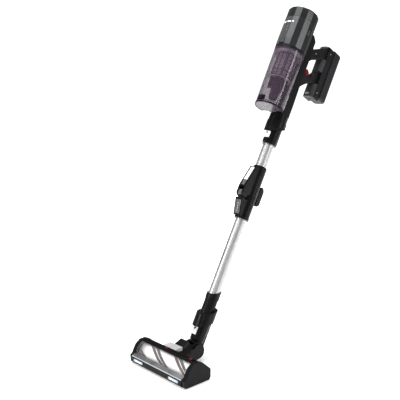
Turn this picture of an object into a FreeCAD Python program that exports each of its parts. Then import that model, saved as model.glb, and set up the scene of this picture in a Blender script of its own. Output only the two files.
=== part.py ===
"""Cordless stick vacuum: hand unit with cyclone bin and battery handle, wand with a bending joint, powered floor head.

Units are millimetres. The row frame has +X to the machine's right, +Y to the back (towards the user) and +Z up.
Its origin is on the floor, at the middle of the felt strip under the floor head.
The wand and the hand unit are modelled upright in a wand frame (z along the wand, -y to its front, origin on the
neck's tilt axis) and then leaned back into the row frame.
"""
import FreeCAD
import Part
import math
import os

V = FreeCAD.Vector
X_AXIS, Y_AXIS = V(1, 0, 0), V(0, 1, 0)

# ---- driving dimensions ---------------------------------------------------------------------------------
LEAN = 28.6                      # wand's lean from the vertical, degrees
TILT_AXIS = V(0, 76.0, 39.0)     # neck's tilt axis, in the row frame
SLIP = 0.06                      # radial clearance of a running fit
CLEAR = 0.4                      # gap between pieces that move past each other
BIG = 400.0

HEAD_HALF = 125.0                # half the floor head's width
CAP_T = 13.0                     # end cap thickness
INNER = HEAD_HALF - CAP_T
BRUSH_Y, BRUSH_Z, BRUSH_R = -22.0, 29.8, 28.6
CHAMBER_R = 31.2                 # brush chamber radius
WINDOW_R = 33.2                  # outside radius of the brush window
SOLE_LOW, SOLE_TOP = 2.6, 4.4
MOTOR_Y, MOTOR_Z = 20.2, 17.0    # brush motor axis
SWIVEL_R = 23.0                  # swivel spigot radius
SWIVEL_SEAM = 17.0               # back face of the head at the swivel
WHEEL_R, WHEEL_X, WHEEL_Y = 9.5, 52.0, 20.0

TUBE_R, TUBE_BORE = 17.5, 16.3   # wand tube
SPIGOT_R, DUCT_R = 17.0, 14.5    # plug-in ends
KNUCKLE_R, KNUCKLE_HALF = 27.0, 19.4
NECK_RIM, NECK_SLANT = 84.0, 30.3
BEND_Y, BEND_Z = -36.5, 499.0    # wand's bend axis
BARREL_R = 12.5
RIM, RIM_SLANT = 731.5, 25.6     # rim of the hand unit's nozzle

BIN_Y, BIN_LOW, RIM_LOW, BIN_TOP = -58.0, 785.0, 974.0, 980.4
BIN_R_LOW, BIN_R_TOP, BIN_WALL = 46.8, 49.8, 2.2
PORT_Z, PORT_R = 935.0, 9.0      # dirty air port between duct and bin
LID_AXIS_Y, LID_AXIS_Z = -36.0, 781.5
HOUSING_R, FACETS = 51.0, 16     # housing's corner radius and number of flat faces
HOUSING_LOW, CAP_SEAM, CAP_TOP = 981.0, 1083.0, 1118.0
SHELL_R = 46.6                   # housing's round inside
SPINE_HALF, SPINE_FRONT, AIR_Y, AIR_R = 19.0, -16.0, 8.5, 10.0
GRIP_FRONT, GRIP_BACK, GRIP_LOW, GRIP_TOP = 86.0, 127.0, 902.0, 1089.0
PACK_BACK, PACK_HALF, PACK_LOW, PACK_TOP = 169.0, 24.0, 910.0, 1092.0
TRIGGER_Y, TRIGGER_Z = 66.0, 950.5
LEVER_Y, LEVER_Z = -31.5, 584.0


# ---- helpers ---------------------------------------------------------------------------------------------
def cyl(r, low, high, y=0.0, x=0.0):
    """Upright cylinder from z low to z high."""
    return Part.makeCylinder(r, high - low, V(x, y, low))


def tube(r_out, r_in, low, high, y=0.0, x=0.0):
    return cyl(r_out, low, high, y, x).cut(cyl(r_in, low - 1, high + 1, y, x))


def cone(r_low, r_high, low, high, y=0.0):
    return Part.makeCone(r_low, r_high, high - low, V(0, y, low))


def bar(r, x0, x1, y, z):
    """Cylinder along X."""
    return Part.makeCylinder(r, x1 - x0, V(x0, y, z), X_AXIS)


def ring_x(r_out, r_in, x0, x1, y, z):
    return bar(r_out, x0, x1, y, z).cut(bar(r_in, x0 - 1, x1 + 1, y, z))


def rod_y(r, y0, y1, z, x=0.0):
    """Cylinder along Y."""
    return Part.makeCylinder(r, y1 - y0, V(x, y0, z), Y_AXIS)


def box(x0, x1, y0, y1, z0, z1):
    return Part.makeBox(x1 - x0, y1 - y0, z1 - z0, V(x0, y0, z0))


def straight_edges(shape, axis):
    k = "xyz".index(axis)
    return [e for e in shape.Edges if e.Curve.TypeId == "Part::GeomLine" and abs(abs(e.Curve.Direction[k]) - 1) < 1e-6]


def rounded(x0, x1, y0, y1, z0, z1, r, axis="z"):
    """Box with its four edges along one axis rounded."""
    b = box(x0, x1, y0, y1, z0, z1)
    return b.makeFillet(r, straight_edges(b, axis))


def facet_prism(r, low, high, y):
    """Upright prism with flat faces all round and its corners on radius r."""
    step = 2 * math.pi / FACETS
    points = [V(r * math.cos(step * (i + 0.5)), y + r * math.sin(step * (i + 0.5)), low) for i in range(FACETS)]
    return Part.Face(Part.makePolygon(points + points[:1])).extrude(V(0, 0, high - low))


def slab(points, x0, x1):
    """Polygon in (y, z), extruded along X."""
    wire = Part.makePolygon([V(x0, y, z) for y, z in points + points[:1]])
    return Part.Face(wire).extrude(V(x1 - x0, 0, 0))


def soft_slab(points, x0, x1, r):
    s = slab(points, x0, x1)
    return s.makeFillet(r, straight_edges(s, "x"))


def fuse(*shapes):
    return shapes[0].multiFuse(list(shapes[1:])).removeSplitter()


def cut(shape, *tools):
    for tool in tools:
        shape = shape.cut(tool)
    return shape


def group(*shapes):
    """Separate solids kept in one node."""
    return Part.makeCompound([s for shape in shapes for s in shape.Solids])


def under(z, slant):
    """Half space below a plane that crosses the axis at z and rises to the back by slant degrees."""
    b = Part.makeBox(BIG, BIG, BIG, V(-BIG / 2, -BIG / 2, -BIG))
    b.rotate(V(0, 0, 0), X_AXIS, slant)
    b.translate(V(0, 0, z))
    return b


def over(z, slant):
    b = Part.makeBox(BIG, BIG, BIG, V(-BIG / 2, -BIG / 2, 0))
    b.rotate(V(0, 0, 0), X_AXIS, slant)
    b.translate(V(0, 0, z))
    return b


NODES = {}


def node(name, shape):
    NODES[name] = shape


def wand_node(name, shape):
    """Node given in the wand frame."""
    shape = shape.copy()
    shape.rotate(V(0, 0, 0), X_AXIS, -LEAN)
    shape.translate(TILT_AXIS)
    NODES[name] = shape


# ---- floor head, in the row frame ------------------------------------------------------------------------
CAP_OUTLINE = [(-66, 5), (-60, 1.6), (26, 1.6), (32, 9), (32, 34), (2, 60), (-13, 66.5), (-31, 65.5), (-48, 54),
               (-61, 30), (-68, 24)]
CHASSIS_OUTLINE = [(-22, 61), (-19, 64.4), (-12, 65.5), (2, 58.5), (31, 34), (31, 9), (26, SOLE_TOP),
                   (0, SOLE_TOP), (0, 30), (-10, 50)]
BAY_OUTLINE = [(11.5, 6.8), (11.5, 30), (7.6, 46), (0, 54.5), (2.5, 55.2), (28.8, 33), (28.8, 11), (24.8, 6.8)]
BELT_OUTLINE = [(-8, 18), (11, 7), (28, 7), (28.8, 30), (6, 49), (-8, 47)]


def end_cap(side):
    inner, outer = side * INNER, side * HEAD_HALF
    cap = slab(CAP_OUTLINE, min(inner, outer), max(inner, outer))
    cap = cap.makeFillet(2.5, [e for e in cap.Edges if abs(e.CenterOfMass.x - outer) < 1e-3])
    recess_end = inner + side * 5
    return cap.cut(bar(CHAMBER_R, min(inner, recess_end), max(inner, recess_end), BRUSH_Y, BRUSH_Z))


def head_chassis():
    body = slab(CHASSIS_OUTLINE, -INNER, INNER)
    body = fuse(body, rod_y(28.0, 6, SWIVEL_SEAM, TILT_AXIS.z))
    body = cut(body, bar(CHAMBER_R, -INNER - 1, INNER + 1, BRUSH_Y, BRUSH_Z),
               box(-44, 44, SWIVEL_SEAM, 40, 0, 70), box(-INNER, INNER, -30, 40, 0, SOLE_TOP),
               slab(BAY_OUTLINE, -104, -60), slab(BAY_OUTLINE, 60, 104), slab(BELT_OUTLINE, -111, -104.6),
               bar(3.6, -104.8, -103.8, MOTOR_Y, MOTOR_Z),
               rod_y(SWIVEL_R + SLIP, 0, 30, TILT_AXIS.z), rod_y(25.2, 0, 13.6, TILT_AXIS.z))
    for side in (-1, 1):
        x = side * WHEEL_X
        body = cut(body, box(x - 5.5, x + 5.5, WHEEL_Y - 10.7, 40, 0, 20.4))
        body = fuse(body, bar(2.0, x - 6, x + 6, WHEEL_Y, WHEEL_R))
    return body


def grip_strip(x0, x1):
    """Ribbed strip along the top edge of the brush window."""
    strip = slab([(-30.5, 62.4), (-22.0, 62.4), (-19.0, 64.6), (-12, 65.7), (-12, 67.6), (-17, 69.2), (-27, 68.6)],
                 x0, x1)
    slots = [box(x, x + 2.4, -27.5, -13.5, 67.2, 70) for x in [-106 + 6.4 * i for i in range(33)]
             if not -20 < x < 4 and x < 84]
    pockets = [box(-16, 2, -26, -14.5, 65.6, 70), box(89, INNER, -26, -14.5, 65.6, 70)]
    return cut(strip, Part.makeCompound(slots), *pockets, bar(WINDOW_R, x0 - 1, x1 + 1, BRUSH_Y, BRUSH_Z))


def brush_nodes():
    left, right = -104.0, 106.0
    core = bar(24.0, left, right, BRUSH_Y, BRUSH_Z).cut(bar(19.0, left + 16, right - 18, BRUSH_Y, BRUSH_Z))
    core = cut(core, bar(4.0 + SLIP, right - 14, right + 1, BRUSH_Y, BRUSH_Z),
               box(left - 1, left + 9, BRUSH_Y - 5, BRUSH_Y + 5, BRUSH_Z - 5, BRUSH_Z + 5))
    node("brush_core", core)
    node("brush_fabric", ring_x(27.8, 24.0, left + 1, right - 1, BRUSH_Y, BRUSH_Z))
    length = right - left - 4
    strips = []
    for start in [120 * i + k for i in range(3) for k in (0, 25)]:
        helix = Part.makeHelix(310.0, length, 26.0)
        profile = Part.Face(Part.makePolygon([V(25.0, -4.0, 0), V(BRUSH_R + 2, -4.0, 0), V(BRUSH_R + 2, 4.0, 0),
                                              V(25.0, 4.0, 0), V(25.0, -4.0, 0)]))
        wire = profile.OuterWire
        strip = Part.Wire(helix).makePipeShell([wire], True, True)
        strip.rotate(V(0, 0, 0), V(0, 0, 1), start)
        strip.rotate(V(0, 0, 0), Y_AXIS, 90)
        strip.translate(V(left + 2, BRUSH_Y, BRUSH_Z))
        strips.append(strip)
    shell = bar(BRUSH_R, left + 1, right - 1, BRUSH_Y, BRUSH_Z)
    node("brush_bristles", group(*[s.common(shell) for s in strips]))


def drive_nodes():
    """Brush drive at the head's left end: motor, belt and the wheel whose square dog turns the brush."""
    wheel = fuse(bar(12.0, -110.6, -105.6, BRUSH_Y, BRUSH_Z), bar(13.2, -110.6, -110.0, BRUSH_Y, BRUSH_Z),
                 box(-105.7, -97, BRUSH_Y - 4.5, BRUSH_Y + 4.5, BRUSH_Z - 4.5, BRUSH_Z + 4.5))
    node("drive_wheel", wheel.cut(bar(3.0 + SLIP, -112, -101, BRUSH_Y, BRUSH_Z)))
    pulley = fuse(bar(5.5, -110.6, -105.6, MOTOR_Y, MOTOR_Z), bar(1.5, -105.7, -72, MOTOR_Y, MOTOR_Z))
    node("motor_pulley", pulley)
    motor = fuse(bar(8.3, -102, -66, MOTOR_Y, MOTOR_Z), bar(3.4, -103.9, -102, MOTOR_Y, MOTOR_Z))
    node("brush_motor", motor.cut(bar(1.5 + SLIP, -104, -71, MOTOR_Y, MOTOR_Z)))
    node("drive_belt", belt_loop(12.35, 5.85, 1.6, -109.4, -106.0))


def belt_loop(r1, r2, thick, x0, x1):
    """Belt around the drive wheel and the motor pulley."""
    dy, dz = MOTOR_Y - BRUSH_Y, MOTOR_Z - BRUSH_Z
    dist, tilt = math.hypot(dy, dz), math.atan2(dz, dy)

    def filled(a, b):
        swing = math.acos((a - b) / dist)
        points = []
        for sign in (1, -1):
            ang = tilt + sign * swing
            pair = [(BRUSH_Y + a * math.cos(ang), BRUSH_Z + a * math.sin(ang)),
                    (MOTOR_Y + b * math.cos(ang), MOTOR_Z + b * math.sin(ang))]
            points += pair if sign == 1 else pair[::-1]
        return fuse(slab(points, x0, x1), bar(a, x0, x1, BRUSH_Y, BRUSH_Z), bar(b, x0, x1, MOTOR_Y, MOTOR_Z))

    return filled(r1 + thick, r2 + thick).cut(filled(r1, r2))


def head_nodes():
    x0, x1 = -INNER, INNER
    node("end_cap_left", fuse(end_cap(-1), bar(3.0, -120.5, -103, BRUSH_Y, BRUSH_Z)))
    right = fuse(end_cap(1), bar(4.0, 94, 120.5, BRUSH_Y, BRUSH_Z))
    right.translate(V(CLEAR, 0, 0))
    node("end_cap_right", right.common(box(0, HEAD_HALF, -80, 60, 0, 80)))
    node("head_chassis", head_chassis())
    window = ring_x(WINDOW_R, CHAMBER_R, x0, x1, BRUSH_Y, BRUSH_Z)
    node("brush_window", window.common(slab([(-60, 31), (-22, 31), (-22, 70), (-60, 70)], x0, x1)))
    node("grip_strip", grip_strip(x0, x1))
    node("window_clip", box(-12.5, -1.5, -24.8, -15.7, 66.0, 69.8))
    node("brush_latch", box(92.5, 103.5, -24.8, -15.7, 66.0, 69.8))
    keep_out = bar(WINDOW_R, x0 - 1, x1 + 1, BRUSH_Y, BRUSH_Z)
    node("front_trim", slab([(-53.5, 33.6), (-69.2, 27.4), (-69.2, 24.6), (-52.5, 27.6)], x0, x1).cut(keep_out))
    bumper = slab([(-52.5, 27.6), (-69.2, 24.6), (-69.6, 9), (-66, SOLE_TOP), (-44, SOLE_TOP), (-44, 12)], x0, x1)
    lamp_pockets = [box(x, x + 42, -71, -65.5, 12, 20) for x in (-102, 58)]
    node("front_bumper", cut(bumper, bar(CHAMBER_R, x0 - 1, x1 + 1, BRUSH_Y, BRUSH_Z), *lamp_pockets))
    lamps = [rounded(x, x + 42, -70.4, -65.5, 12, 20, 3.4, "y") for x in (-102, 58)]
    node("headlight_lenses", group(*lamps))
    sole = cut(box(x0, x1, -64, 25, SOLE_LOW, SOLE_TOP), box(x0 + 6, x1 - 6, -42, -4, 0, 9),
               bar(BRUSH_R + 0.5, x1 - 12, x1 + 1, BRUSH_Y, BRUSH_Z),
               *[box(s * WHEEL_X - 5.5, s * WHEEL_X + 5.5, 9.3, 40, 0, 9) for s in (-1, 1)])
    node("sole_plate", sole)
    node("felt_strip", box(-100, 100, -3, 3, 0, SOLE_LOW))
    deck = soft_slab([(-11.6, 65.9), (-10.8, 68.2), (16.4, 69.6), (16.4, 60), (16.4, 49), (2.6, 60.0)], -34, 20, 0.6)
    node("deck_cover", cut(deck, rod_y(28.0, 0, 40, TILT_AXIS.z), slab(CHASSIS_OUTLINE, -60, 60)))
    for side, name in ((-1, "left"), (1, "right")):
        x = side * WHEEL_X
        wheel = ring_x(WHEEL_R, 2.0 + SLIP, x - 4.5, x + 4.5, WHEEL_Y, WHEEL_R)
        node("rear_wheel_" + name, wheel.cut(ring_x(7.6, 4.0, x + side * 3 - 1.6, x + side * 3 + 1.6, WHEEL_Y,
                                                    WHEEL_R)))


def swivel_arm():
    """Turns in the head about a fore-aft axis and carries the neck's knuckle between two ears."""
    py, pz = TILT_AXIS.y, TILT_AXIS.z
    drum = fuse(rod_y(SWIVEL_R, 11.0, 20, pz), rod_y(24.8, 11.0, 13.3, pz), rod_y(27.5, SWIVEL_SEAM + CLEAR, 60, pz))
    drum = drum.cut(bar(KNUCKLE_R + CLEAR, -40, 40, py, pz))
    ears = []
    for side in (-1, 1):
        a, b = sorted((side * (KNUCKLE_HALF + CLEAR), side * 26.2))
        ears.append(fuse(bar(22.0, a, b, py, pz), box(a, b, 40, py, pz - 22, pz + 14)))
        c, d = sorted((side * (KNUCKLE_HALF - 3), side * 24))
        ears.append(bar(4.0, c, d, py, pz))
    hood = soft_slab([(SWIVEL_SEAM + 1, 60), (SWIVEL_SEAM + 1, 68.5), (43.5, 78.5), (46, 75.5), (36, 58)], -17, 17, 1.2)
    arm = fuse(drum, *ears, hood)
    upright_neck = cyl(22.4, 6, 70)
    upright_neck.rotate(V(0, 0, 0), X_AXIS, 25 - LEAN)
    upright_neck.translate(TILT_AXIS)
    room = box(-KNUCKLE_HALF - CLEAR, KNUCKLE_HALF + CLEAR, 30, 120, pz, 120)
    return cut(arm, rod_y(16.0, 10, 60, pz), upright_neck.common(room))


# ---- neck and wand, in the wand frame --------------------------------------------------------------------
def neck_pipe():
    knuckle = bar(KNUCKLE_R, -KNUCKLE_HALF, KNUCKLE_HALF, 0, 0)
    pipe = fuse(cone(18.6, 19.0, 8, 23.6), cone(19.0, 21.6, 23.6, 31), cone(21.6, 24.4, 31, 110))
    pipe = pipe.common(under(NECK_RIM - CLEAR, NECK_SLANT))
    ridge = rounded(-9, 9, 10, 30.5, 17, 130, 3.0).common(under(NECK_RIM - CLEAR, NECK_SLANT))
    body = fuse(knuckle, pipe, ridge, cyl(SPIGOT_R, 60, 128))
    hollow = bar(23.5, -KNUCKLE_HALF + 2.6, KNUCKLE_HALF - 2.6, 0, 0)
    swing = slab([(0, 0), (-6, -40), (-22, -40), (-40, -14), (-40, 10), (-22, 24)], -14.5, 14.5)
    return cut(body, hollow, cyl(DUCT_R, 5, 130), swing, bar(4.0 + SLIP, -30, 30, 0, 0),
               box(-9.4, 9.4, -30, -19.4, 43, 69), box(-5, 5, -30, -20.6, 27, 38))


def wand_socket():
    ring = cyl(30.0, 60, 150).common(over(NECK_RIM, NECK_SLANT)).common(under(122.0, NECK_SLANT))
    grip = cyl(20.0, 100, 162)
    flutes = [cyl(0.8, 112, 158, y=20.3 * math.sin(a), x=20.3 * math.cos(a))
              for a in [math.radians(15 * i) for i in range(24)]]
    collar = fuse(cyl(21.6, 160, 200), rounded(-8, 8, 17, 24, 160, 200, 2.0)).common(under(182.5, 23.9))
    body = cut(fuse(ring, grip, collar), Part.makeCompound(flutes))
    return cut(body, cyl(SPIGOT_R + CLEAR, 50, 131), cyl(TUBE_BORE, 120, 180), cyl(TUBE_R, 165, 230),
               *[box(-40, -26, y, y + 2, 60, 150) for y in (-6, 0, 6)])


def bulge(points, half, r=3.0):
    return soft_slab(points, -half, half, r)


def flex_lower_housing():
    body = cyl(22.5, 423, BEND_Z - 0.3)
    front = slab([(-10, 426), (-28, 430), (-43, 478), (-42, 482), (-10, 482)], -14, 14)
    lug = fuse(bar(BARREL_R - 0.5, -6.6, 6.6, BEND_Y, BEND_Z),
               slab([(-10, 470), (-42, 480), (-47, 492), (-26, 492), (-26, BEND_Z - 0.3), (-10, BEND_Z - 0.3)], -6.6, 6.6))
    band = cyl(23.4, 423, 430)
    body = fuse(body, front, lug, band)
    return cut(body, cyl(TUBE_R, 420, 445), cyl(TUBE_BORE, 440, 505), bar(3.0 + SLIP, -20, 20, BEND_Y, BEND_Z))


def flex_upper_housing():
    low = BEND_Z + 0.3
    body = cyl(22.0, low, 602)
    body = body.makeFillet(4.0, [e for e in body.Edges if abs(e.CenterOfMass.z - 602) < 1e-3])
    front = slab([(-10, 594), (-30, 592), (-49, 521), (-49, 517), (-10, 517)], -14, 14)
    cheeks = [fuse(bar(BARREL_R, a, b, BEND_Y, BEND_Z), slab([(-49, BEND_Z), (-49, 520), (-24, 520), (-24, BEND_Z)], a, b),
                   slab([(-30, low), (-30, 520), (-10, 520), (-10, low)], a, b))
              for a, b in ((-14, -7), (7, 14))]
    latch = soft_slab([(23.0, 480), (33, 480), (40, 488), (40, 533), (31, 544), (23.0, 542)], -14, 14, 2.5)
    latch = fuse(latch, box(-13, 13, 10, 24, low, 536))
    body = fuse(body, front, *cheeks, latch, bar(3.0, -14, 14, BEND_Y, BEND_Z))
    channel = slab([(-20, 600), (-33, 600), (-60, 539.5), (-37, 539.5), (-23.4, 590)], -7.2, 7.2)
    body = cut(body, channel.common(box(-8, 8, -60, -23.4, 539.5, 590)), cyl(TUBE_R, 583, 610),
               cyl(TUBE_BORE, low - 1, 590))
    return fuse(body, bar(1.6, -9, 9, LEVER_Y + 1.5, LEVER_Z))


def flex_lever():
    """Long release lever, pivoted at its top, in the channel of the upper housing."""
    lever = soft_slab([(-29.0, 588.5), (-33.0, 588.5), (-46.0, 541), (-41.6, 541), (-27.5, 580.5)], -6.7, 6.7, 1.0)
    eye = bar(3.4, -6.7, 6.7, LEVER_Y + 1.5, LEVER_Z)
    return fuse(lever, eye).cut(bar(1.6 + SLIP, -10, 10, LEVER_Y + 1.5, LEVER_Z))


def hose_cuff(low, high):
    body = tube(14.6, 13.2, low, high)
    rings = [tube(15.9, 13.2, z, z + 2.0) for z in [low + 4.0 * i for i in range(int((high - low) / 4.0) + 1)]
             if z + 2.0 <= high]
    return fuse(body, *rings)


def wand_collar():
    body = cone(22.0, 26.0, 679, 760)
    tab = rounded(-7, 7, -28.5, -15, 680, 692, 2.0, "z")
    ridge = rounded(-9, 9, 15, 28, 684, 790, 3.0)
    body = fuse(body, tab, ridge).common(under(RIM - CLEAR, RIM_SLANT))
    body = fuse(body, cyl(SPIGOT_R, 700, 772))
    return cut(body, cyl(TUBE_R, 670, 705), cyl(DUCT_R, 700, 780), box(-9.9, 9.9, -40, -19.4, 696, 718.4))


def push_button(x_half, y_front, y_back, low, high):
    b = rounded(-x_half, x_half, y_front, y_back, low, high, 2.0, "y")
    return b.makeFillet(0.8, [e for e in b.Edges if abs(e.CenterOfMass.y - y_front) < 1e-3
                              and abs(e.BoundBox.YMax - e.BoundBox.YMin) < 1e-3])


def wand_nodes():
    wand_node("neck_pipe", neck_pipe())
    wand_node("neck_button", push_button(9.0, -25.0, -21.5, 43.4, 68.4))
    wand_node("wand_socket", wand_socket())
    wand_node("lower_tube", tube(TUBE_R, TUBE_BORE, 165, 445))
    wand_node("flex_lower_housing", flex_lower_housing())
    wand_node("flex_hose_lower", hose_cuff(456, BEND_Z - 0.5))
    wand_node("flex_upper_housing", flex_upper_housing())
    wand_node("flex_hose_upper", hose_cuff(BEND_Z + 0.5, 541))
    wand_node("flex_lever", flex_lever())
    wand_node("upper_tube", tube(TUBE_R, TUBE_BORE, 583, 705))
    wand_node("wand_collar", wand_collar())
    wand_node("wand_button", push_button(9.5, -27.0, -22.0, 696.8, 718.0))


# ---- hand unit, in the wand frame ------------------------------------------------------------------------
def bin_solid(grow, low=BIN_LOW, high=BIN_TOP):
    """Bin's outside, a slightly flared cone, grown by a gap."""
    return cone(BIN_R_LOW + grow, BIN_R_TOP + grow, low, high, BIN_Y)


def nozzle_socket():
    body = fuse(cyl(30.0, 700, 782), cyl(32.0, 700, 758)).common(over(RIM + 8, RIM_SLANT))
    body = fuse(body, rounded(-4, 4, 28, 34, 774, 781, 1.5))
    return cut(body, cyl(SPIGOT_R + CLEAR, 690, 776), cyl(AIR_R, 770, 790, AIR_Y))


def spine_duct():
    body = slab([(SPINE_FRONT, 783), (-9, 783), (-9, 782), (25, 782), (27, 820), (24, 850), (22, 890), (22, 1020),
                 (20.8, 1040.6), (20, 1041), (20, 1062), (4, 1076), (SPINE_FRONT, 1076)], -SPINE_HALF, SPINE_HALF)
    back = rounded(-SPINE_HALF, SPINE_HALF, SPINE_FRONT - 40, 29, 700, 1100, 7.5)
    gap = cone(BIN_R_LOW + 0.5, BIN_R_TOP + 0.6, 781, 981, BIN_Y)
    return cut(body.common(back), gap, facet_prism(HOUSING_R, 981, 1100, BIN_Y), cyl(AIR_R, 780, 946, AIR_Y),
               rod_y(PORT_R, -30, AIR_Y, PORT_Z), box(-3.4, 3.4, 15.5, 30, 1047, 1060))


def motor_housing():
    body = facet_prism(HOUSING_R, HOUSING_LOW, CAP_SEAM, BIN_Y)
    pocket = box(-10.4, 10.4, BIN_Y - 60, BIN_Y - 47.6, 986, 999)
    return cut(body, cyl(SHELL_R, HOUSING_LOW + 4, CAP_SEAM + 1, BIN_Y), cyl(22, 980, 990, BIN_Y), pocket)


def front_panel():
    skin = facet_prism(HOUSING_R + 0.9, 983, 1081, BIN_Y).cut(facet_prism(HOUSING_R, 980, 1090, BIN_Y))
    return cut(skin.common(box(-28, 28, -120, -80, 983, 1081)), box(-10.4, 10.4, -120, -98, 980, 999))


def suction_motor():
    body = fuse(cyl(30.0, 992, 1040, BIN_Y), cyl(12.0, 1040, 1046, BIN_Y), tube(SHELL_R, 28, 1034, 1038, BIN_Y))
    vents = [cyl(4.0, 1030, 1041, BIN_Y + 40 * math.sin(a), 40 * math.cos(a))
             for a in [math.radians(30 * i) for i in range(12)]]
    return cut(body, Part.makeCompound(vents), cyl(3.0 + SLIP, 1020, 1050, BIN_Y))


def impeller():
    body = fuse(cyl(3.0, 1024, 1060, BIN_Y), cyl(30.0, 1048, 1050, BIN_Y), cyl(9.0, 1049, 1062, BIN_Y))
    blades = []
    for i in range(9):
        blade = box(5, 29, -0.8, 0.8, 1049.5, 1060)
        blade.rotate(V(0, 0, 0), V(0, 0, 1), 40 * i)
        blade.translate(V(0, BIN_Y, 0))
        blades.append(blade)
    return fuse(body, *blades)


def filter_cap():
    body = facet_prism(HOUSING_R, CAP_SEAM + CLEAR, CAP_TOP, BIN_Y)
    body = body.makeFillet(5.0, [e for e in body.Edges if abs(e.CenterOfMass.z - CAP_TOP) < 1e-3])
    body = cut(body, cyl(SHELL_R, CAP_SEAM, CAP_TOP - 9, BIN_Y))
    skirt = tube(SHELL_R - CLEAR, SHELL_R - 2.4, CAP_SEAM - 10, CAP_TOP - 8, BIN_Y)
    lip = tube(SHELL_R + 1, SHELL_R - 2.4, CAP_SEAM + CLEAR, CAP_SEAM + 3, BIN_Y)
    slots = []
    for i in range(24):
        slot = box(16, 38, -1.4, 1.4, CAP_TOP - 12, CAP_TOP + 2)
        slot.rotate(V(0, 0, 0), V(0, 0, 1), 15 * i)
        slot.translate(V(0, BIN_Y, 0))
        slots.append(slot)
    return cut(fuse(body, skirt, lip), Part.makeCompound(slots))


UPPER_ARM = [(16, 998), (30, 998), (40, 1009), (60, 1020), (88, 1040), (100, 1040), (100, 1087), (92, 1085),
             (84, 1078), (41, 1049), (28, 1036), (16, 1030)]
LOWER_ARM = [(16, 893), (24, 893), (36, 910), (52, 926), (72, 941), (90, 949), (100, 949), (100, 994), (88, 994),
             (76, 977), (68, 962), (44, 950), (30, 956), (16, 958)]
TRIGGER_SLOT = [(22.5, 937), (50, 937), (73, 946.5), (73, 1000), (22.5, 1000)]


def grip_column():
    body = box(-21, 21, GRIP_FRONT, GRIP_BACK, GRIP_LOW, GRIP_TOP)
    front = [e for e in straight_edges(body, "z") if e.CenterOfMass.y < GRIP_FRONT + 1]
    body = body.makeFillet(15.0, front)
    ends = [e for e in body.Edges if e.CenterOfMass.z > GRIP_TOP - 0.01 or e.CenterOfMass.z < GRIP_LOW + 0.01]
    return body.makeFillet(4.0, [e for e in ends if e.CenterOfMass.y < GRIP_BACK - 1])


def handle_nodes():
    column = grip_column()
    arms = fuse(slab(UPPER_ARM, -15, 15), slab(LOWER_ARM, -13, 13))
    arms = arms.makeFillet(4.0, [e for e in straight_edges_yz(arms) if 28 < e.CenterOfMass.y < 84 and e.Length > 9])
    arms = arms.cut(fuse(spine_duct(), box(-SPINE_HALF, SPINE_HALF, -9, 19.5, 782, 1060)))
    rear = column.common(box(-30, 30, 98, 140, 880, 1110))
    rails = [box(s * 10 - 2, s * 10 + 2, 123, 130, 880, 1062) for s in (-1, 1)]
    frame = fuse(rear, arms)
    frame = cut(frame, slab(TRIGGER_SLOT, -7.6, 7.6), cyl(2.85, 890, GRIP_LOW + 9.5, 110), *rails)
    frame = fuse(frame, bar(2.4, -9, 9, TRIGGER_Y, TRIGGER_Z))
    wand_node("handle_frame", frame)
    pad = column.common(box(-30, 30, 80, 98, 880, 1110)).cut(fuse(slab(UPPER_ARM, -30, 30), slab(LOWER_ARM, -30, 30)))
    wand_node("grip_pads", group(*[s for s in pad.Solids if s.Volume > 500]))
    trigger = soft_slab([(31, 948), (29, 962), (33, 971), (42, 975), (52, 970), (58, 960), (66, 956), (71, 955),
                         (71, 947.5), (60, 943.5), (48, 941), (36, 943.5)], -7.0, 7.0, 2.0)
    wand_node("trigger", trigger.cut(bar(2.4 + SLIP, -8, 8, TRIGGER_Y, TRIGGER_Z)))


def straight_edges_yz(shape):
    """Straight edges that lie in planes of constant x."""
    return [e for e in shape.Edges if e.Curve.TypeId == "Part::GeomLine" and abs(e.Curve.Direction.x) < 1e-6
            and abs(e.CenterOfMass.x) > 5]


def battery_nodes():
    y0 = GRIP_BACK + CLEAR
    body = box(-PACK_HALF, PACK_HALF, y0, PACK_BACK, PACK_LOW, PACK_TOP)
    back = [e for e in straight_edges(body, "z") if e.CenterOfMass.y > PACK_BACK - 1]
    body = body.makeFillet(15.0, back)
    ends = [e for e in body.Edges if e.CenterOfMass.y > y0 + 1
            and (e.CenterOfMass.z > PACK_TOP - 0.01 or e.CenterOfMass.z < PACK_LOW + 0.01)]
    body = body.makeFillet(8.0, ends)
    inside = rounded(-PACK_HALF + 2.4, PACK_HALF - 2.4, y0 + 2.4, PACK_BACK - 2.4, PACK_LOW + 9, PACK_TOP - 9, 12.0)
    rails = [box(s * 10 - 1.6, s * 10 + 1.6, 123.5, y0 + 1, PACK_LOW + 6, 1058) for s in (-1, 1)]
    pocket = box(-8.4, 8.4, PACK_BACK - 5, PACK_BACK + 5, 925, 945)
    shelf = box(-12, 12, PACK_BACK - 8, PACK_BACK - 2, 920, 948)
    shell = fuse(body.cut(inside), *rails, shelf.common(body))
    wand_node("battery_shell", shell.cut(pocket))
    mid = (y0 + PACK_BACK) / 2
    wand_node("battery_cells", group(*[cyl(8.6, low, low + 65, mid + 9.0 * j, 9.0 * i)
                                       for low in (949, 1015.5) for i in (-1, 1) for j in (-1, 1)]))
    button = rounded(-8.0, 8.0, PACK_BACK - 2.6, PACK_BACK + 1.2, 925.4, 944.6, 2.0, "y")
    wand_node("battery_button", button)


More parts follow.
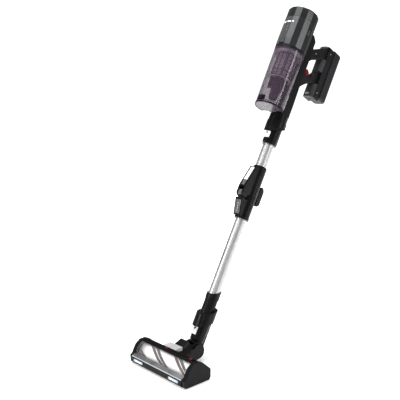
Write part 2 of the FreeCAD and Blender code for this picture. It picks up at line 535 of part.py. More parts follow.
def bin_nodes():
    outer = bin_solid(0).cut(cone(BIN_R_LOW - BIN_WALL, BIN_R_TOP - BIN_WALL, BIN_LOW - 0.01, BIN_TOP + 0.01, BIN_Y))
    floor = cyl(BIN_R_LOW - 1, BIN_LOW, BIN_LOW + 3, BIN_Y).common(box(-60, 60, LID_AXIS_Y + 2, 10, 700, 900))
    wall = fuse(outer, floor).common(box(-60, 60, -120, 20, BIN_LOW, RIM_LOW))
    ears = [box(a, b, LID_AXIS_Y - 2.5, LID_AXIS_Y + 2.5, 779.3, BIN_LOW + 3) for a, b in ((12.4, 16.4), (-16.4, -12.4))]
    wall = cut(fuse(wall, *ears), rod_y(PORT_R, -30, 10, PORT_Z))
    wall = fuse(wall, bar(1.6, -16.4, 16.4, LID_AXIS_Y, LID_AXIS_Z))
    wand_node("dust_bin", wall)
    rim = bin_solid(0).cut(cyl(43.5, 700, 1000, BIN_Y)).common(box(-60, 60, -120, 20, RIM_LOW, BIN_TOP))
    catch = box(-12, 12, BIN_Y - BIN_R_LOW - 4, BIN_Y - 40, 786, 802).cut(bin_solid(0.01))
    catch = cut(catch, box(-8.4, 8.4, -130, BIN_Y - BIN_R_LOW - 1.6, 788, 800))
    wand_node("bin_rim", group(rim, catch))
    button = rounded(-8.0, 8.0, BIN_Y - BIN_R_LOW - 6.4, BIN_Y - BIN_R_LOW - 3.3, 788.4, 799.6, 2.0, "y")
    wand_node("lid_button", button)
    wand_node("pre_filter", cyl(43.0, 968.5, 980, BIN_Y))
    shroud = fuse(tube(33.0, 30.5, 884, 963, BIN_Y), tube(47.2, 12, 963, 966.5, BIN_Y), tube(38.0, 20, 880, 884, BIN_Y))
    holes = []
    for k in range(6):
        for i in range(16):
            hole = Part.makeCylinder(2.0, 40, V(0, 0, 893 + 12 * k), X_AXIS)
            hole.rotate(V(0, 0, 0), V(0, 0, 1), 22.5 * i + 11.25 * (k % 2))
            hole.translate(V(0, BIN_Y, 0))
            holes.append(hole)
    wand_node("cyclone_shroud", shroud.cut(Part.makeCompound(holes)))
    inner = fuse(cone(13.0, 20.0, 812, 884, BIN_Y), cyl(20.0, 884, 962, BIN_Y))
    inner = inner.cut(fuse(cone(11.0, 18.0, 811, 884, BIN_Y), cyl(18.0, 884, 963, BIN_Y)))
    fins = [box(11.5, 31, -1, 1, 848, 880) for _ in range(8)]
    for i, fin in enumerate(fins):
        fin.rotate(V(0, 0, 0), V(0, 0, 1), 45 * i + 20)
        fin.translate(V(0, BIN_Y, 0))
    fins = [f.cut(cone(12.0, 19.0, 811, 884, BIN_Y)) for f in fins]
    wand_node("cyclone_cone", fuse(inner, *fins))
    edge = LID_AXIS_Y - 3.8
    front = box(-60, 60, -130, edge, 700, 800)
    lid = cyl(BIN_R_LOW - 2, 780, 784.6, BIN_Y).cut(cyl(BIN_R_LOW - 5, 782.6, 790, BIN_Y)).common(front)
    web = box(-40, 40, edge - 5, edge, 780, 784.6).common(cyl(BIN_R_LOW - 2, 770, 790, BIN_Y))
    lid = fuse(lid, web, box(-12, 12, edge - 5, LID_AXIS_Y, LID_AXIS_Z - 1.5, LID_AXIS_Z + 2.6),
               bar(3.0, -12, 12, LID_AXIS_Y, LID_AXIS_Z))
    wand_node("bin_lid", lid.cut(bar(1.6 + SLIP, -20, 20, LID_AXIS_Y, LID_AXIS_Z)))
    wand_node("lid_rim", tube(BIN_R_LOW + 0.8, BIN_R_LOW - 2, 779.4, 784.6, BIN_Y).common(front))


def hand_nodes():
    wand_node("nozzle_socket", nozzle_socket())
    band = tube(32.0, 26.0, 700, 782).common(over(RIM, RIM_SLANT)).common(under(RIM + 8, RIM_SLANT))
    wand_node("nozzle_seal", band)
    wand_node("spine_duct", spine_duct())
    wand_node("motor_housing", motor_housing())
    wand_node("front_panel", front_panel())
    wand_node("suction_motor", suction_motor())
    wand_node("impeller", impeller())
    wand_node("filter_cap", filter_cap())
    wand_node("exhaust_filter", tube(SHELL_R - 2.4, 33, CAP_SEAM - 8, CAP_SEAM + 12, BIN_Y))
    button = rounded(-10.0, 10.0, BIN_Y - 53.4, BIN_Y - 50.2, 986.4, 998.6, 2.0, "y")
    wand_node("bin_release_button", button)
    selector = fuse(rounded(-8, 8, 20.4, 24.6, 1047.5, 1061, 2.0, "y"), box(-3, 3, 16.5, 20.6, 1053.5, 1059.5))
    wand_node("power_selector", selector)


head_nodes()
node("swivel_arm", swivel_arm())
brush_nodes()
drive_nodes()
wand_nodes()
hand_nodes()
handle_nodes()
battery_nodes()
bin_nodes()

os.makedirs("parts", exist_ok=True)
for name, shape in NODES.items():
    shape.exportStep("parts/" + name + ".step")
    print(name, len(shape.Solids), shape.isValid(), round(shape.Volume))
print(len(NODES), "nodes")
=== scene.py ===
import bpy
import bmesh
import math
import random
from mathutils import Matrix, Vector


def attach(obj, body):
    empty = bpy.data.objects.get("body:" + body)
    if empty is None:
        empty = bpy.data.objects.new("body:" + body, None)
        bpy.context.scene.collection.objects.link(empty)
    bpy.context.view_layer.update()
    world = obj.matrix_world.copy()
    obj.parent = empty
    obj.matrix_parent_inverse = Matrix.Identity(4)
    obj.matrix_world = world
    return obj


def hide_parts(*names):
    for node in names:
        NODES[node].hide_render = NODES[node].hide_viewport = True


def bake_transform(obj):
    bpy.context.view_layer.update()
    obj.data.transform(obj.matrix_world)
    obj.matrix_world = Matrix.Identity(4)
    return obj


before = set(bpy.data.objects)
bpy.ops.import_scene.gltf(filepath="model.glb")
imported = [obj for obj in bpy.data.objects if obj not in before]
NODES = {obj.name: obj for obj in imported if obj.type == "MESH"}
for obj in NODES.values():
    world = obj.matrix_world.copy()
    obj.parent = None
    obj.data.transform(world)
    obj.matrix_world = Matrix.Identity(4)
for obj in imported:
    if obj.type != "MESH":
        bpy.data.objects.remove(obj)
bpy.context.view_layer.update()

LEAN = math.radians(28.6)
WAND = Matrix.Translation((0, 0.076, 0.039)) @ Matrix.Rotation(-LEAN, 4, "X")   # wand frame to row frame
rng = random.Random(7)


# ---- camera, floor and light -------------------------------------------------------------------------
def add_camera():
    az, el = math.radians(47.55), math.radians(10.0)
    back = Vector((math.sin(az) * math.cos(el), -math.cos(az) * math.cos(el), math.sin(el)))
    right = Vector((math.cos(az), math.sin(az), 0))
    up = back.cross(right)
    cam = bpy.data.objects.new("camera", bpy.data.cameras.new("camera"))
    bpy.context.collection.objects.link(cam)
    cam.matrix_world = Matrix((right, up, back)).transposed().to_4x4()
    cam.location = (1.3602, -1.140, 0.8176)
    cam.data.lens = 57.7
    cam.data.clip_end = 50
    bpy.context.scene.camera = cam


def add_light(name, loc, target, size, power, size_y=None, color=(1, 1, 1)):
    data = bpy.data.lights.new(name, "AREA")
    data.shape = "RECTANGLE"
    data.size, data.size_y = size, size_y or size
    data.energy, data.color = power, color
    lamp = bpy.data.objects.new(name, data)
    bpy.context.collection.objects.link(lamp)
    lamp.location = loc
    lamp.rotation_euler = (Vector(target) - Vector(loc)).to_track_quat("-Z", "Y").to_euler()


def add_world():
    """White backdrop for the camera, and a much dimmer room as a light, so dark pieces stay dark."""
    world = bpy.data.worlds.new("world")
    bpy.context.scene.world = world
    world.use_nodes = True
    nt = world.node_tree
    rays = nt.nodes.new("ShaderNodeLightPath")
    level = nt.nodes.new("ShaderNodeMapRange")
    level.inputs["To Min"].default_value = 0.26
    level.inputs["To Max"].default_value = 1.05
    nt.links.new(rays.outputs["Is Camera Ray"], level.inputs["Value"])
    nt.links.new(level.outputs["Result"], nt.nodes["Background"].inputs["Strength"])
    nt.nodes["Background"].inputs["Color"].default_value = (1, 1, 1, 1)


def add_floor():
    mesh = bpy.data.meshes.new("floor")
    mesh.from_pydata([(-9, -9, 0), (9, -9, 0), (9, 9, 0), (-9, 9, 0)], [], [(0, 1, 2, 3)])
    floor = bpy.data.objects.new("floor", mesh)
    bpy.context.collection.objects.link(floor)
    mat, nt, p = new_material("floor_white")
    noise = tex_noise(nt, 3.0, 2.0)
    white = color_ramp(nt, noise, [(0.3, (0.9, 0.9, 0.9)), (0.7, (0.92, 0.92, 0.92))])
    nt.links.new(white, p.inputs["Base Color"])
    p.inputs["Roughness"].default_value = 0.9
    p.inputs["Specular IOR Level"].default_value = 0.0
    p.inputs["Emission Color"].default_value = (1, 1, 1, 1)
    away = nt.nodes.new("ShaderNodeVectorMath")
    away.operation = "LENGTH"
    nt.links.new(coords(nt), away.inputs[0])
    nt.links.new(value_ramp(nt, away.outputs["Value"], 0.3, 1.0, 0.25, 1.1), p.inputs["Emission Strength"])
    mesh.materials.append(mat)


def add_studio():
    add_floor()
    add_world()
    add_light("key", (-0.75, -1.8, 1.6), (0, 0.25, 0.6), 0.5, 24, 1.5)
    add_light("side", (1.9, 0.9, 1.2), (0, 0.35, 0.7), 0.3, 8, 1.6)
    add_light("front", (1.1, -1.5, 1.2), (0, 0.2, 0.5), 0.16, 3, 1.4)
    add_light("top", (0.0, 0.1, 3.0), (0, 0.15, 0), 2.2, 78)
    view = bpy.context.scene.view_settings
    view.view_transform, view.look = "Standard", "Medium High Contrast"


# ---- materials -----------------------------------------------------------------------------------------
def new_material(name):
    mat = bpy.data.materials.new(name)
    mat.use_nodes = True
    nt = mat.node_tree
    return mat, nt, nt.nodes["Principled BSDF"]


def coords(nt, scale=(1, 1, 1), wand=False):
    """Object coordinates, turned into the wand frame for the leaning pieces."""
    tc = nt.nodes.new("ShaderNodeTexCoord")
    turn = nt.nodes.new("ShaderNodeMapping")
    if wand:
        turn.vector_type = "TEXTURE"
        turn.inputs["Location"].default_value = (0, 0.076, 0.039)
        turn.inputs["Rotation"].default_value = (-LEAN, 0, 0)
    nt.links.new(tc.outputs["Object"], turn.inputs["Vector"])
    size = nt.nodes.new("ShaderNodeMapping")
    size.inputs["Scale"].default_value = scale
    nt.links.new(turn.outputs[0], size.inputs["Vector"])
    return size.outputs[0]


def tex_noise(nt, scale, detail=3.0, stretch=(1, 1, 1), wand=False, rough=0.5):
    n = nt.nodes.new("ShaderNodeTexNoise")
    n.inputs["Scale"].default_value = scale
    n.inputs["Detail"].default_value = detail
    n.inputs["Roughness"].default_value = rough
    nt.links.new(coords(nt, stretch, wand), n.inputs["Vector"])
    return n.outputs["Fac"]


def color_ramp(nt, fac, stops):
    r = nt.nodes.new("ShaderNodeValToRGB")
    els = r.color_ramp.elements
    while len(els) < len(stops):
        els.new(0.5)
    for el, (pos, col) in zip(els, stops):
        el.position = pos
        el.color = (*col, 1)
    nt.links.new(fac, r.inputs[0])
    return r.outputs["Color"]


def value_ramp(nt, fac, lo, hi, a=0.35, b=0.65):
    m = nt.nodes.new("ShaderNodeMapRange")
    for key, val in (("From Min", a), ("From Max", b), ("To Min", lo), ("To Max", hi)):
        m.inputs[key].default_value = val
    nt.links.new(fac, m.inputs["Value"])
    return m.outputs["Result"]


def bump(nt, height, strength, distance, normal=None):
    b = nt.nodes.new("ShaderNodeBump")
    b.inputs["Strength"].default_value = strength
    b.inputs["Distance"].default_value = distance
    nt.links.new(height, b.inputs["Height"])
    if normal:
        nt.links.new(normal, b.inputs["Normal"])
    return b.outputs["Normal"]


def mix_color(nt, fac, a, b, blend="MIX"):
    m = nt.nodes.new("ShaderNodeMix")
    m.data_type, m.blend_type = "RGBA", blend
    for sock, val in ((m.inputs["Factor"], fac), (m.inputs["A"], a), (m.inputs["B"], b)):
        if isinstance(val, (int, float)):
            sock.default_value = val
        elif isinstance(val, tuple):
            sock.default_value = (*val, 1)
        else:
            nt.links.new(val, sock)
    return m.outputs["Result"]


def shade(c, k):
    return tuple(min(1, v * k) for v in c)


def plastic(name, col, rough=0.4, grain=900, depth=0.00004, wear=0.12, coat=0.0, spec=0.2, wand=False):
    """Moulded plastic: fine grain, slight blotches, uneven gloss and softened, lightly rubbed edges."""
    mat, nt, p = new_material(name)
    blotch = tex_noise(nt, 22, 4, wand=wand)
    base = color_ramp(nt, blotch, [(0.32, shade(col, 0.86)), (0.68, shade(col, 1.16))])
    geo = nt.nodes.new("ShaderNodeNewGeometry")
    edge = value_ramp(nt, geo.outputs["Pointiness"], 0, wear, 0.52, 0.62)
    rubbed = tuple(min(1, v * 1.5 + 0.03) for v in col)
    nt.links.new(mix_color(nt, edge, base, rubbed), p.inputs["Base Color"])
    smear = tex_noise(nt, 60, 5, (1, 1, 0.35), wand)
    nt.links.new(value_ramp(nt, smear, rough * 0.82, rough * 1.2), p.inputs["Roughness"])
    fine = tex_noise(nt, grain, 2)
    nt.links.new(bump(nt, fine, 0.35, depth, soft_edges(nt)), p.inputs["Normal"])
    p.inputs["Specular IOR Level"].default_value = spec
    p.inputs["Coat Weight"].default_value = coat
    p.inputs["Coat Roughness"].default_value = 0.06
    return mat


def soft_edges(nt, radius=0.0007):
    """Edges of moulded parts are never razor sharp."""
    b = nt.nodes.new("ShaderNodeBevel")
    b.samples = 4
    b.inputs["Radius"].default_value = radius
    return b.outputs["Normal"]


def metal(name, col, rough=0.3, brushed=(400, 400, 6), wand=True):
    """Drawn or brushed metal: long fine streaks along the piece."""
    mat, nt, p = new_material(name)
    streak = tex_noise(nt, 1.0, 3, brushed, wand)
    base = color_ramp(nt, streak, [(0.3, shade(col, 0.93)), (0.7, shade(col, 1.05))])
    nt.links.new(base, p.inputs["Base Color"])
    soft = tex_noise(nt, 30, 3, (1, 1, 0.3), wand)
    nt.links.new(value_ramp(nt, soft, rough * 0.85, rough * 1.2), p.inputs["Roughness"])
    nt.links.new(bump(nt, streak, 0.12, 0.00003), p.inputs["Normal"])
    p.inputs["Metallic"].default_value = 1.0
    return mat


def clear(name, col, body=0.12, rim=0.6, rough=0.06, wand=False, coat=0.8):
    """Thin clear moulding: mostly see-through, denser where it is seen along the wall, with faint scuffs."""
    mat, nt, p = new_material(name)
    tint = tex_noise(nt, 14, 2, wand=wand)
    base = color_ramp(nt, tint, [(0.3, shade(col, 0.93)), (0.7, shade(col, 1.07))])
    nt.links.new(base, p.inputs["Base Color"])
    scuff = tex_noise(nt, 180, 4, (1, 1, 0.2), wand)
    nt.links.new(value_ramp(nt, scuff, rough * 0.6, rough * 1.6), p.inputs["Roughness"])
    layer = nt.nodes.new("ShaderNodeLayerWeight")
    layer.inputs["Blend"].default_value = 0.35
    nt.links.new(value_ramp(nt, layer.outputs["Facing"], body, rim, 0.25, 0.95), p.inputs["Alpha"])
    p.inputs["Coat Weight"].default_value = coat
    p.inputs["Coat Roughness"].default_value = 0.04
    return mat


def rubber(name, col, grain=700):
    return plastic(name, col, 0.62, grain, 0.00006, 0.1)


def felt_like(name, col, scale=1400, rough=0.9, sheen=0.3, left_end_painted_shade=None):
    """Short pile or pressed fibre."""
    mat, nt, p = new_material(name)
    fibre = tex_noise(nt, scale, 4, (1, 0.3, 1), rough=0.7)
    pile = color_ramp(nt, fibre, [(0.3, shade(col, 0.88)), (0.7, shade(col, 1.06))])
    # painted shade: the pile turns brown-grey towards the left end, where the end cap shades it
    if left_end_painted_shade:
        across = nt.nodes.new("ShaderNodeSeparateXYZ")
        nt.links.new(coords(nt), across.inputs[0])
        pile = mix_color(nt, value_ramp(nt, across.outputs["X"], 1, 0, -0.098, -0.070), pile, left_end_painted_shade)
    nt.links.new(pile, p.inputs["Base Color"])
    nt.links.new(bump(nt, fibre, 0.4, 0.0002), p.inputs["Normal"])
    p.inputs["Roughness"].default_value = rough
    p.inputs["Sheen Weight"].default_value = sheen
    p.inputs["Specular IOR Level"].default_value = 0.2
    return mat


def paint_nodes(mat, *names):
    for name in names:
        ob = NODES[name]
        ob.data.materials.clear()
        ob.data.materials.append(mat)


def glow(name, col, strength):
    """Frosted lamp lens with an uneven glow."""
    mat = plastic(name, col, 0.2, coat=0.5)
    nt = mat.node_tree
    p = nt.nodes["Principled BSDF"]
    uneven = color_ramp(nt, tex_noise(nt, 60, 2), [(0.3, shade(col, 0.75)), (0.7, col)])
    nt.links.new(uneven, p.inputs["Emission Color"])
    p.inputs["Emission Strength"].default_value = strength
    return mat


M = {}


def make_materials():
    M["black"] = plastic("black_satin", (0.006, 0.006, 0.007), 0.3, wand=True)
    M["handle"] = plastic("handle_black", (0.012, 0.012, 0.013), 0.34, wand=True)
    M["graphite"] = plastic("graphite_gloss", (0.02, 0.021, 0.022), 0.14, depth=0.000006, coat=0.25,
                            wand=True)
    M["panel"] = plastic("panel_grey", (0.06, 0.062, 0.064), 0.22, depth=0.000006, coat=0.2, wand=True)
    M["grip"] = plastic("grip_grey", (0.045, 0.045, 0.047), 0.42, wand=True)
    M["battery"] = plastic("battery_dark", (0.022, 0.022, 0.024), 0.38, wand=True)
    M["red"] = plastic("red_gloss", (0.14, 0.006, 0.014), 0.16, coat=0.4, wear=0.05)
    M["bin"] = clear("bin_violet", (0.085, 0.06, 0.088), 0.34, 0.8, 0.05, wand=True)
    M["lid"] = clear("lid_violet", (0.085, 0.068, 0.085), 0.85, 0.95, 0.3, wand=True, coat=0.15)
    M["rim"] = plastic("bin_black", (0.012, 0.008, 0.012), 0.3, wand=True)
    M["cyclone"] = plastic("cyclone_violet", (0.055, 0.035, 0.055), 0.35, wand=True)
    M["mesh"] = plastic("mesh_grey", (0.5, 0.44, 0.5), 0.4, wand=True)
    M["rib"] = plastic("rib_violet", (0.06, 0.04, 0.062), 0.4, wand=True)
    M["cell"] = plastic("cell_wrap", (0.1, 0.25, 0.32), 0.3, wand=True)
    M["white"] = plastic("release_white", (0.82, 0.82, 0.82), 0.25, coat=0.3, wear=0.03, wand=True)
    M["mark"] = plastic("mark_white", (0.9, 0.9, 0.9), 0.4, wear=0.0, wand=True)
    M["faint"] = plastic("mark_grey", (0.26, 0.27, 0.27), 0.4, wear=0.0, wand=True)
    M["face"] = plastic("face_grey", (0.10, 0.10, 0.105), 0.3, coat=0.2, wand=True)
    M["barrel"] = plastic("barrel_grey", (0.30, 0.30, 0.31), 0.3, coat=0.2, wand=True)
    M["tube"] = metal("tube_satin", (0.5, 0.5, 0.5), 0.42)
    M["can"] = metal("motor_can", (0.5, 0.5, 0.5), 0.35)
    M["screw"] = metal("screw_steel", (0.42, 0.42, 0.43), 0.3, (300, 300, 300))
    M["moulded"] = plastic("moulded_grey", (0.2, 0.2, 0.21), 0.45)
    M["pleat"] = felt_like("filter_felt", (0.75, 0.75, 0.72))
    M["seal"] = rubber("seal_black", (0.005, 0.005, 0.006))
    M["cap"] = plastic("cap_black", (0.005, 0.005, 0.006), 0.4)
    M["window"] = clear("window_clear", (0.75, 0.76, 0.77), 0.05, 0.35, 0.03)
    M["trim"] = metal("trim_silver", (0.5, 0.51, 0.52), 0.3, (6, 400, 400), False)
    M["lamp"] = glow("lamp_lens", (0.35, 0.42, 0.5), 0.12)
    M["led"] = glow("led_white", (0.9, 0.95, 1.0), 1.2)
    M["deck"] = plastic("deck_silver", (0.46, 0.47, 0.46), 0.2, coat=0.4, wear=0.03)
    M["sole"] = plastic("sole_dark", (0.02, 0.02, 0.02), 0.5)
    M["wheel"] = rubber("wheel_black", (0.015, 0.015, 0.015))
    M["velvet"] = felt_like("velvet", (0.05, 0.05, 0.055))
    # the brown-grey left end of the plush is painted shade from the end cap
    M["plush"] = felt_like("plush_white", (0.93, 0.92, 0.91), 900, left_end_painted_shade=(0.20, 0.165, 0.15))
    M["bristle"] = felt_like("bristle_brown", (0.11, 0.085, 0.08), 1500, 0.6, 0.1)


def paint_frame():
    paint_nodes(M["black"], "spine_duct", "nozzle_socket", "neck_pipe", "swivel_arm", "wand_socket",
                "flex_lower_housing", "flex_upper_housing", "wand_collar", "head_chassis")
    paint_nodes(M["handle"], "handle_frame")
    paint_nodes(M["graphite"], "motor_housing", "filter_cap")
    paint_nodes(M["panel"], "front_panel", "bin_release_button")
    paint_nodes(M["grip"], "grip_pads")
    paint_nodes(M["battery"], "battery_shell", "battery_button")
    paint_nodes(M["red"], "trigger", "window_clip", "brush_latch")
    paint_nodes(M["bin"], "dust_bin")
    paint_nodes(M["lid"], "bin_lid")
    paint_nodes(M["rim"], "bin_rim", "lid_rim", "lid_button", "power_selector")
    paint_nodes(M["cyclone"], "cyclone_cone")
    paint_nodes(M["mesh"], "cyclone_shroud")
    paint_nodes(M["cell"], "battery_cells")
    paint_nodes(M["white"], "neck_button", "wand_button", "flex_lever")
    paint_nodes(M["tube"], "lower_tube", "upper_tube")
    paint_nodes(M["can"], "suction_motor", "brush_motor")
    paint_nodes(M["moulded"], "impeller", "drive_wheel", "motor_pulley", "brush_core")
    paint_nodes(M["pleat"], "exhaust_filter", "pre_filter")
    paint_nodes(M["seal"], "nozzle_seal", "drive_belt", "flex_hose_upper", "flex_hose_lower")
    paint_nodes(M["cap"], "end_cap_left", "end_cap_right", "front_bumper", "grip_strip")
    paint_nodes(M["window"], "brush_window")
    paint_nodes(M["trim"], "front_trim")
    paint_nodes(M["lamp"], "headlight_lenses")
    paint_nodes(M["deck"], "deck_cover")
    paint_nodes(M["sole"], "sole_plate")
    paint_nodes(M["wheel"], "rear_wheel_left", "rear_wheel_right")
    paint_nodes(M["velvet"], "felt_strip")
    paint_nodes(M["plush"], "brush_fabric")
    paint_nodes(M["bristle"], "brush_bristles")


# ---- detail pieces, sizes in millimetres ---------------------------------------------------------------
BRUSH_Y, BRUSH_Z, BRUSH_LEFT, BRUSH_RIGHT = -22.0, 29.8, -103.0, 105.0
HELIX_PITCH, BAND_GAP = 310.0, 25      # travel along x for one turn, and degrees between paired bands
BIN_Y, HOUSING_R = -58.0, 51.0
WAND_MM = WAND @ Matrix.Scale(0.001, 4)
ROW_MM = Matrix.Scale(0.001, 4)


def add_piece(name, bm, mat, body, space=WAND_MM, smooth=True):
    mesh = bpy.data.meshes.new(name)
    bmesh.ops.recalc_face_normals(bm, faces=bm.faces)
    bm.to_mesh(mesh)
    bm.free()
    mesh.transform(space)
    mesh.materials.append(M[mat])
    if smooth:
        mesh.shade_smooth()
        mesh.set_sharp_from_angle(angle=math.radians(35))
    ob = bpy.data.objects.new(name, mesh)
    bpy.context.collection.objects.link(ob)
    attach(ob, body)


def soft_box(bm, centre, size, round_by=0.4, turn=None):
    """Box with rounded edges, turned about its own centre and added to bm."""
    part = bmesh.new()
    bmesh.ops.create_cube(part, size=1.0, matrix=Matrix.Diagonal((*size, 1)))
    bmesh.ops.bevel(part, geom=part.edges[:], offset=round_by, segments=2, affect="EDGES", profile=0.5)
    part.transform(Matrix.Translation(centre) @ (turn or Matrix.Identity(4)))
    join(bm, part)


def join(bm, part):
    mesh = bpy.data.meshes.new("part")
    part.to_mesh(mesh)
    part.free()
    bm.from_mesh(mesh)
    bpy.data.meshes.remove(mesh)


def ring(bm, centre, r, thick, turn=None, steps=56, sides=6):
    """Round-section ring about z."""
    part = bmesh.new()
    loops = []
    for i in range(steps):
        a = math.tau * i / steps
        loop = []
        for k in range(sides):
            b = math.tau * k / sides
            out = r + thick * math.cos(b)
            loop.append(part.verts.new((out * math.cos(a), out * math.sin(a), thick * math.sin(b))))
        loops.append(loop)
    for i in range(steps):
        p, q = loops[i], loops[(i + 1) % steps]
        for k in range(sides):
            part.faces.new((p[k], q[k], q[(k + 1) % sides], p[(k + 1) % sides]))
    part.transform(Matrix.Translation(centre) @ (turn or Matrix.Identity(4)))
    join(bm, part)


def disc(bm, centre, r, height, turn=None, sides=20):
    """Low round boss with a rounded top edge, standing along z."""
    part = bmesh.new()
    rows = [(r, 0), (r, height * 0.6), (r * 0.8, height)]
    angles = [math.tau * i / sides for i in range(sides)]
    loops = [[part.verts.new((q * math.cos(a), q * math.sin(a), z)) for a in angles] for q, z in rows]
    for low, high in zip(loops, loops[1:]):
        for i in range(sides):
            j = (i + 1) % sides
            part.faces.new((low[i], low[j], high[j], high[i]))
    part.faces.new(loops[-1])
    part.faces.new(loops[0][::-1])
    part.transform(Matrix.Translation(centre) @ (turn or Matrix.Identity(4)))
    join(bm, part)


def around(angle, r, z, y=0.0):
    """Place on a cylinder about the z axis, facing outwards: local x outwards, z up."""
    a = math.radians(angle)
    return (Vector((r * math.cos(a), y + r * math.sin(a), z)), Matrix.Rotation(a, 4, "Z"))


FRONT = Matrix.Rotation(math.radians(90), 4, "X")      # z of a disc turned to -y


def add_panel_marks():
    flat = (HOUSING_R + 0.9) * math.cos(math.radians(11.25))
    bm = bmesh.new()
    for step, wide, shift in ((-1, 13, 1), (0, 15, 0), (1, 5, -6)):
        centre, turn = around(-90 + 22.5 * step, flat, 1062, BIN_Y)
        soft_box(bm, centre + turn @ Vector((0, shift, 0)), (0.8, wide, 5.0), 0.35, turn)
    add_piece("panel_mark", bm, "mark", "hand_unit")
    bm = bmesh.new()
    for angle, z, wide in ((-112.5, 1033, 7), (-90, 1033, 5), (-90, 1043, 4), (-112.5, 1043, 6)):
        centre, turn = around(angle, flat, z, BIN_Y)
        soft_box(bm, centre, (0.6, wide, 1.6), 0.25, turn)
    side = HOUSING_R * math.cos(math.radians(11.25))
    for z in (1052, 1046, 1040):
        centre, turn = around(0, side, z, BIN_Y)
        soft_box(bm, centre, (0.6, 5, 1.5), 0.25, turn)
    add_piece("small_marks", bm, "faint", "hand_unit")


def add_button_marks():
    for name, y, z, body in (("neck_button_dot", -25.0, 62.5, "neck_button"),
                             ("wand_button_dot", -27.0, 711.5, "wand_button")):
        bm = bmesh.new()
        disc(bm, (0, y + 0.3, z), 2.4, 0.6, FRONT)
        ring(bm, (0, y, z), 3.2, 0.3, FRONT, 32)
        add_piece(name, bm, "cap", body)


def add_bin_inside():
    bm = bmesh.new()
    for z in range(888, 962, 3):
        ring(bm, (0, BIN_Y, z), 33.1, 0.45)
    add_piece("shroud_mesh_lines", bm, "rib", "dust_bin")
    bm = bmesh.new()
    for i in range(12):
        centre, turn = around(30 * i + 12, 33.4, 923.5, BIN_Y)
        soft_box(bm, centre, (1.6, 2.6, 78), 0.5, turn)
    for z in (882.5, 903, 962):
        ring(bm, (0, BIN_Y, z), 33.6 if z > 890 else 38.4, 1.0)
    add_piece("shroud_ribs", bm, "cyclone", "dust_bin")
    bm = bmesh.new()
    for angle in (-52, -44, 14, 34):
        a = math.radians(angle)
        lean = Matrix.Rotation(a, 4, "Z") @ Matrix.Rotation(math.atan(3.0 / 195.4), 4, "Y")
        r = (46.8 + 49.8) / 2 - 3.1
        soft_box(bm, (r * math.cos(a), BIN_Y + r * math.sin(a), 880), (1.2, 1.5, 176), 0.4, lean)
    add_piece("bin_wall_ribs", bm, "cyclone", "dust_bin")
    bm = bmesh.new()
    ring(bm, (0, BIN_Y, 789.5), 44.2, 0.9, steps=72)
    ring(bm, (0, BIN_Y, 970), 46.8, 0.7, steps=72)
    add_piece("bin_seal_rings", bm, "seal", "dust_bin")


def add_flex_details():
    slope = math.atan2(-19.0, 71.0)
    bm = bmesh.new()
    tilt = Matrix.Rotation(slope, 4, "X")
    for i in range(6):
        z = 523.5 + 3.0 * i
        y = -49 + (z - 521) * 19 / 71
        soft_box(bm, (0, y + 0.2, z), (13, 1.4, 1.4), 0.5, tilt)
    add_piece("lever_grip_ribs", bm, "barrel", "upper_wand")
    bm = bmesh.new()
    lean = Matrix.Rotation(math.atan2(15.0, 48.0), 4, "X")
    soft_box(bm, (0, -35.6, 454), (21, 1.0, 44), 0.45, lean)
    add_piece("lower_housing_face", bm, "face", "lower_wand")
    bm = bmesh.new()
    for i in range(6):
        z = 440 + 5.0 * i
        disc(bm, (0, -28 - (z - 430) * 15 / 48 - 0.5, z), 1.5, 0.5, FRONT, 4)
    add_piece("lower_housing_marks", bm, "mark", "lower_wand")
    bm = bmesh.new()
    for i in range(9):
        a = math.radians(150 + 10 * i)
        soft_box(bm, (0, -36.5 + 12.0 * math.cos(a), 499 + 12.0 * math.sin(a)), (12.4, 0.9, 2.6), 0.35,
                 Matrix.Rotation(a - math.pi / 2, 4, "X"))
    add_piece("barrel_cover", bm, "barrel", "lower_wand")


def add_handle_details():
    bm = bmesh.new()
    # painted shadow: a black band standing for the shade of the step where the battery meets the column
    soft_box(bm, (0, 125.6, 996), (42.6, 2.6, 172), 0.6)
    add_piece("battery_step_shadow", bm, "seal", "hand_unit")
    bm = bmesh.new()
    soft_box(bm, (0, 86.0, 912), (15, 1.2, 6), 0.5)
    add_piece("column_mark", bm, "barrel", "hand_unit")
    for side in (-1, 1):
        bm = bmesh.new()
        turn = Matrix.Rotation(side * math.pi / 2, 4, "Y")
        for y, z in ((110, 925), (110, 1070), (46, 1036)):
            x = 20.7 if y > 100 else 14.7
            disc(bm, (side * x, y, z), 2.4, 0.7, turn)
        name = "handle_screws_" + ("left" if side < 0 else "right")
        add_piece(name, bm, "screw", "hand_unit")


def add_lamp_leds():
    bm = bmesh.new()
    for x0 in (-102, 58):
        for k in range(5):
            soft_box(bm, (x0 + 9 + 6 * k, -70.5, 16), (5.2, 0.5, 2.6 - 0.5 * abs(k - 1)), 0.2)
    add_piece("lamp_leds", bm, "led", "floor_head", ROW_MM)


def brush_point(t, angle, r):
    return Vector((BRUSH_LEFT + 1 + t, BRUSH_Y + r * math.sin(angle), BRUSH_Z - r * math.cos(angle)))


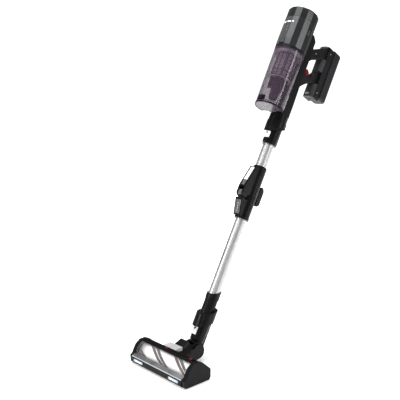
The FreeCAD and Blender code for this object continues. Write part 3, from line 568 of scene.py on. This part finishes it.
def add_bristles():
    """Six helical bands of bristles: each bristle a thin, leaning spike with its root in the brush."""
    verts, faces = [], []
    for start in [120 * i + k for i in range(3) for k in (0, BAND_GAP)]:
        for step in range(250):
            t0 = 0.9 + step * 0.82
            for row in range(6):
                t = t0 + rng.uniform(-0.4, 0.4)
                across = (-3.6 + 1.44 * row + rng.uniform(-0.5, 0.5)) / 26.0
                a = math.radians(start) + math.tau * t / HELIX_PITCH + across
                lean, tip_r = rng.uniform(-0.06, 0.06), rng.uniform(28.4, 29.3)
                root, tip = brush_point(t, a, 25.0), brush_point(t + rng.uniform(-0.5, 0.5), a + lean, tip_r)
                side = Vector((0.3, 0, 0))
                out = brush_point(t, a + math.pi / 2, 0.3) - brush_point(t, a, 0)
                k = len(verts)
                verts += [root + side, root - side * 0.5 + out, root - side * 0.5 - out,
                          tip + side * 0.7, tip - side * 0.35 + out * 0.7, tip - side * 0.35 - out * 0.7]
                faces += [(k, k + 1, k + 4, k + 3), (k + 1, k + 2, k + 5, k + 4), (k + 2, k, k + 3, k + 5),
                          (k + 3, k + 4, k + 5)]
    mesh_piece("bristle_tips", verts, faces, "bristle")


def mesh_piece(name, verts, faces, mat):
    mesh = bpy.data.meshes.new(name)
    mesh.from_pydata(verts, [], faces)
    mesh.transform(ROW_MM)
    mesh.materials.append(M[mat])
    ob = bpy.data.objects.new(name, mesh)
    bpy.context.collection.objects.link(ob)
    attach(ob, "brush")
    return ob


def add_plush():
    """White pile between the bristles, as a lumpy sleeve with closed ends."""
    rows, cols = 300, 132
    verts = [brush_point(-1 + (BRUSH_RIGHT - BRUSH_LEFT) * i / rows, math.tau * j / cols,
                         24.2 if i in (0, rows) else 27.1 + rng.uniform(-0.45, 0.5))
             for i in range(rows + 1) for j in range(cols)]
    faces = [(i * cols + j, i * cols + (j + 1) % cols, (i + 1) * cols + (j + 1) % cols, (i + 1) * cols + j)
             for i in range(rows) for j in range(cols)]
    ob = mesh_piece("plush_sleeve", verts, faces, "plush")
    ob.data.shade_smooth()
    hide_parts("brush_fabric")


def add_bellows():
    """Ribbed air hose through the bending joint, in one piece from housing to housing."""
    verts, faces, rows, cols = [], [], 84, 40
    low, high = 458.0, 540.0
    for i in range(rows + 1):
        z = low + (high - low) * i / rows
        r = 14.9 + 0.9 * math.cos(math.tau * (z - low) / 4.1)
        angles = [math.tau * j / cols for j in range(cols)]
        verts += [(r * math.cos(a), r * math.sin(a), z) for a in angles]
    for i in range(rows):
        for j in range(cols):
            k = (j + 1) % cols
            faces.append((i * cols + j, i * cols + k, (i + 1) * cols + k, (i + 1) * cols + j))
    mesh = bpy.data.meshes.new("bellows_hose")
    mesh.from_pydata(verts, [], faces)
    mesh.transform(WAND_MM)
    mesh.materials.append(M["seal"])
    mesh.shade_smooth()
    ob = bpy.data.objects.new("bellows_hose", mesh)
    bpy.context.collection.objects.link(ob)
    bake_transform(ob)
    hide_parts("flex_hose_lower", "flex_hose_upper")


add_camera()
add_studio()
make_materials()
paint_frame()
add_panel_marks()
add_button_marks()
add_bin_inside()
add_flex_details()
add_handle_details()
add_lamp_leds()
add_bristles()
add_plush()
add_bellows()
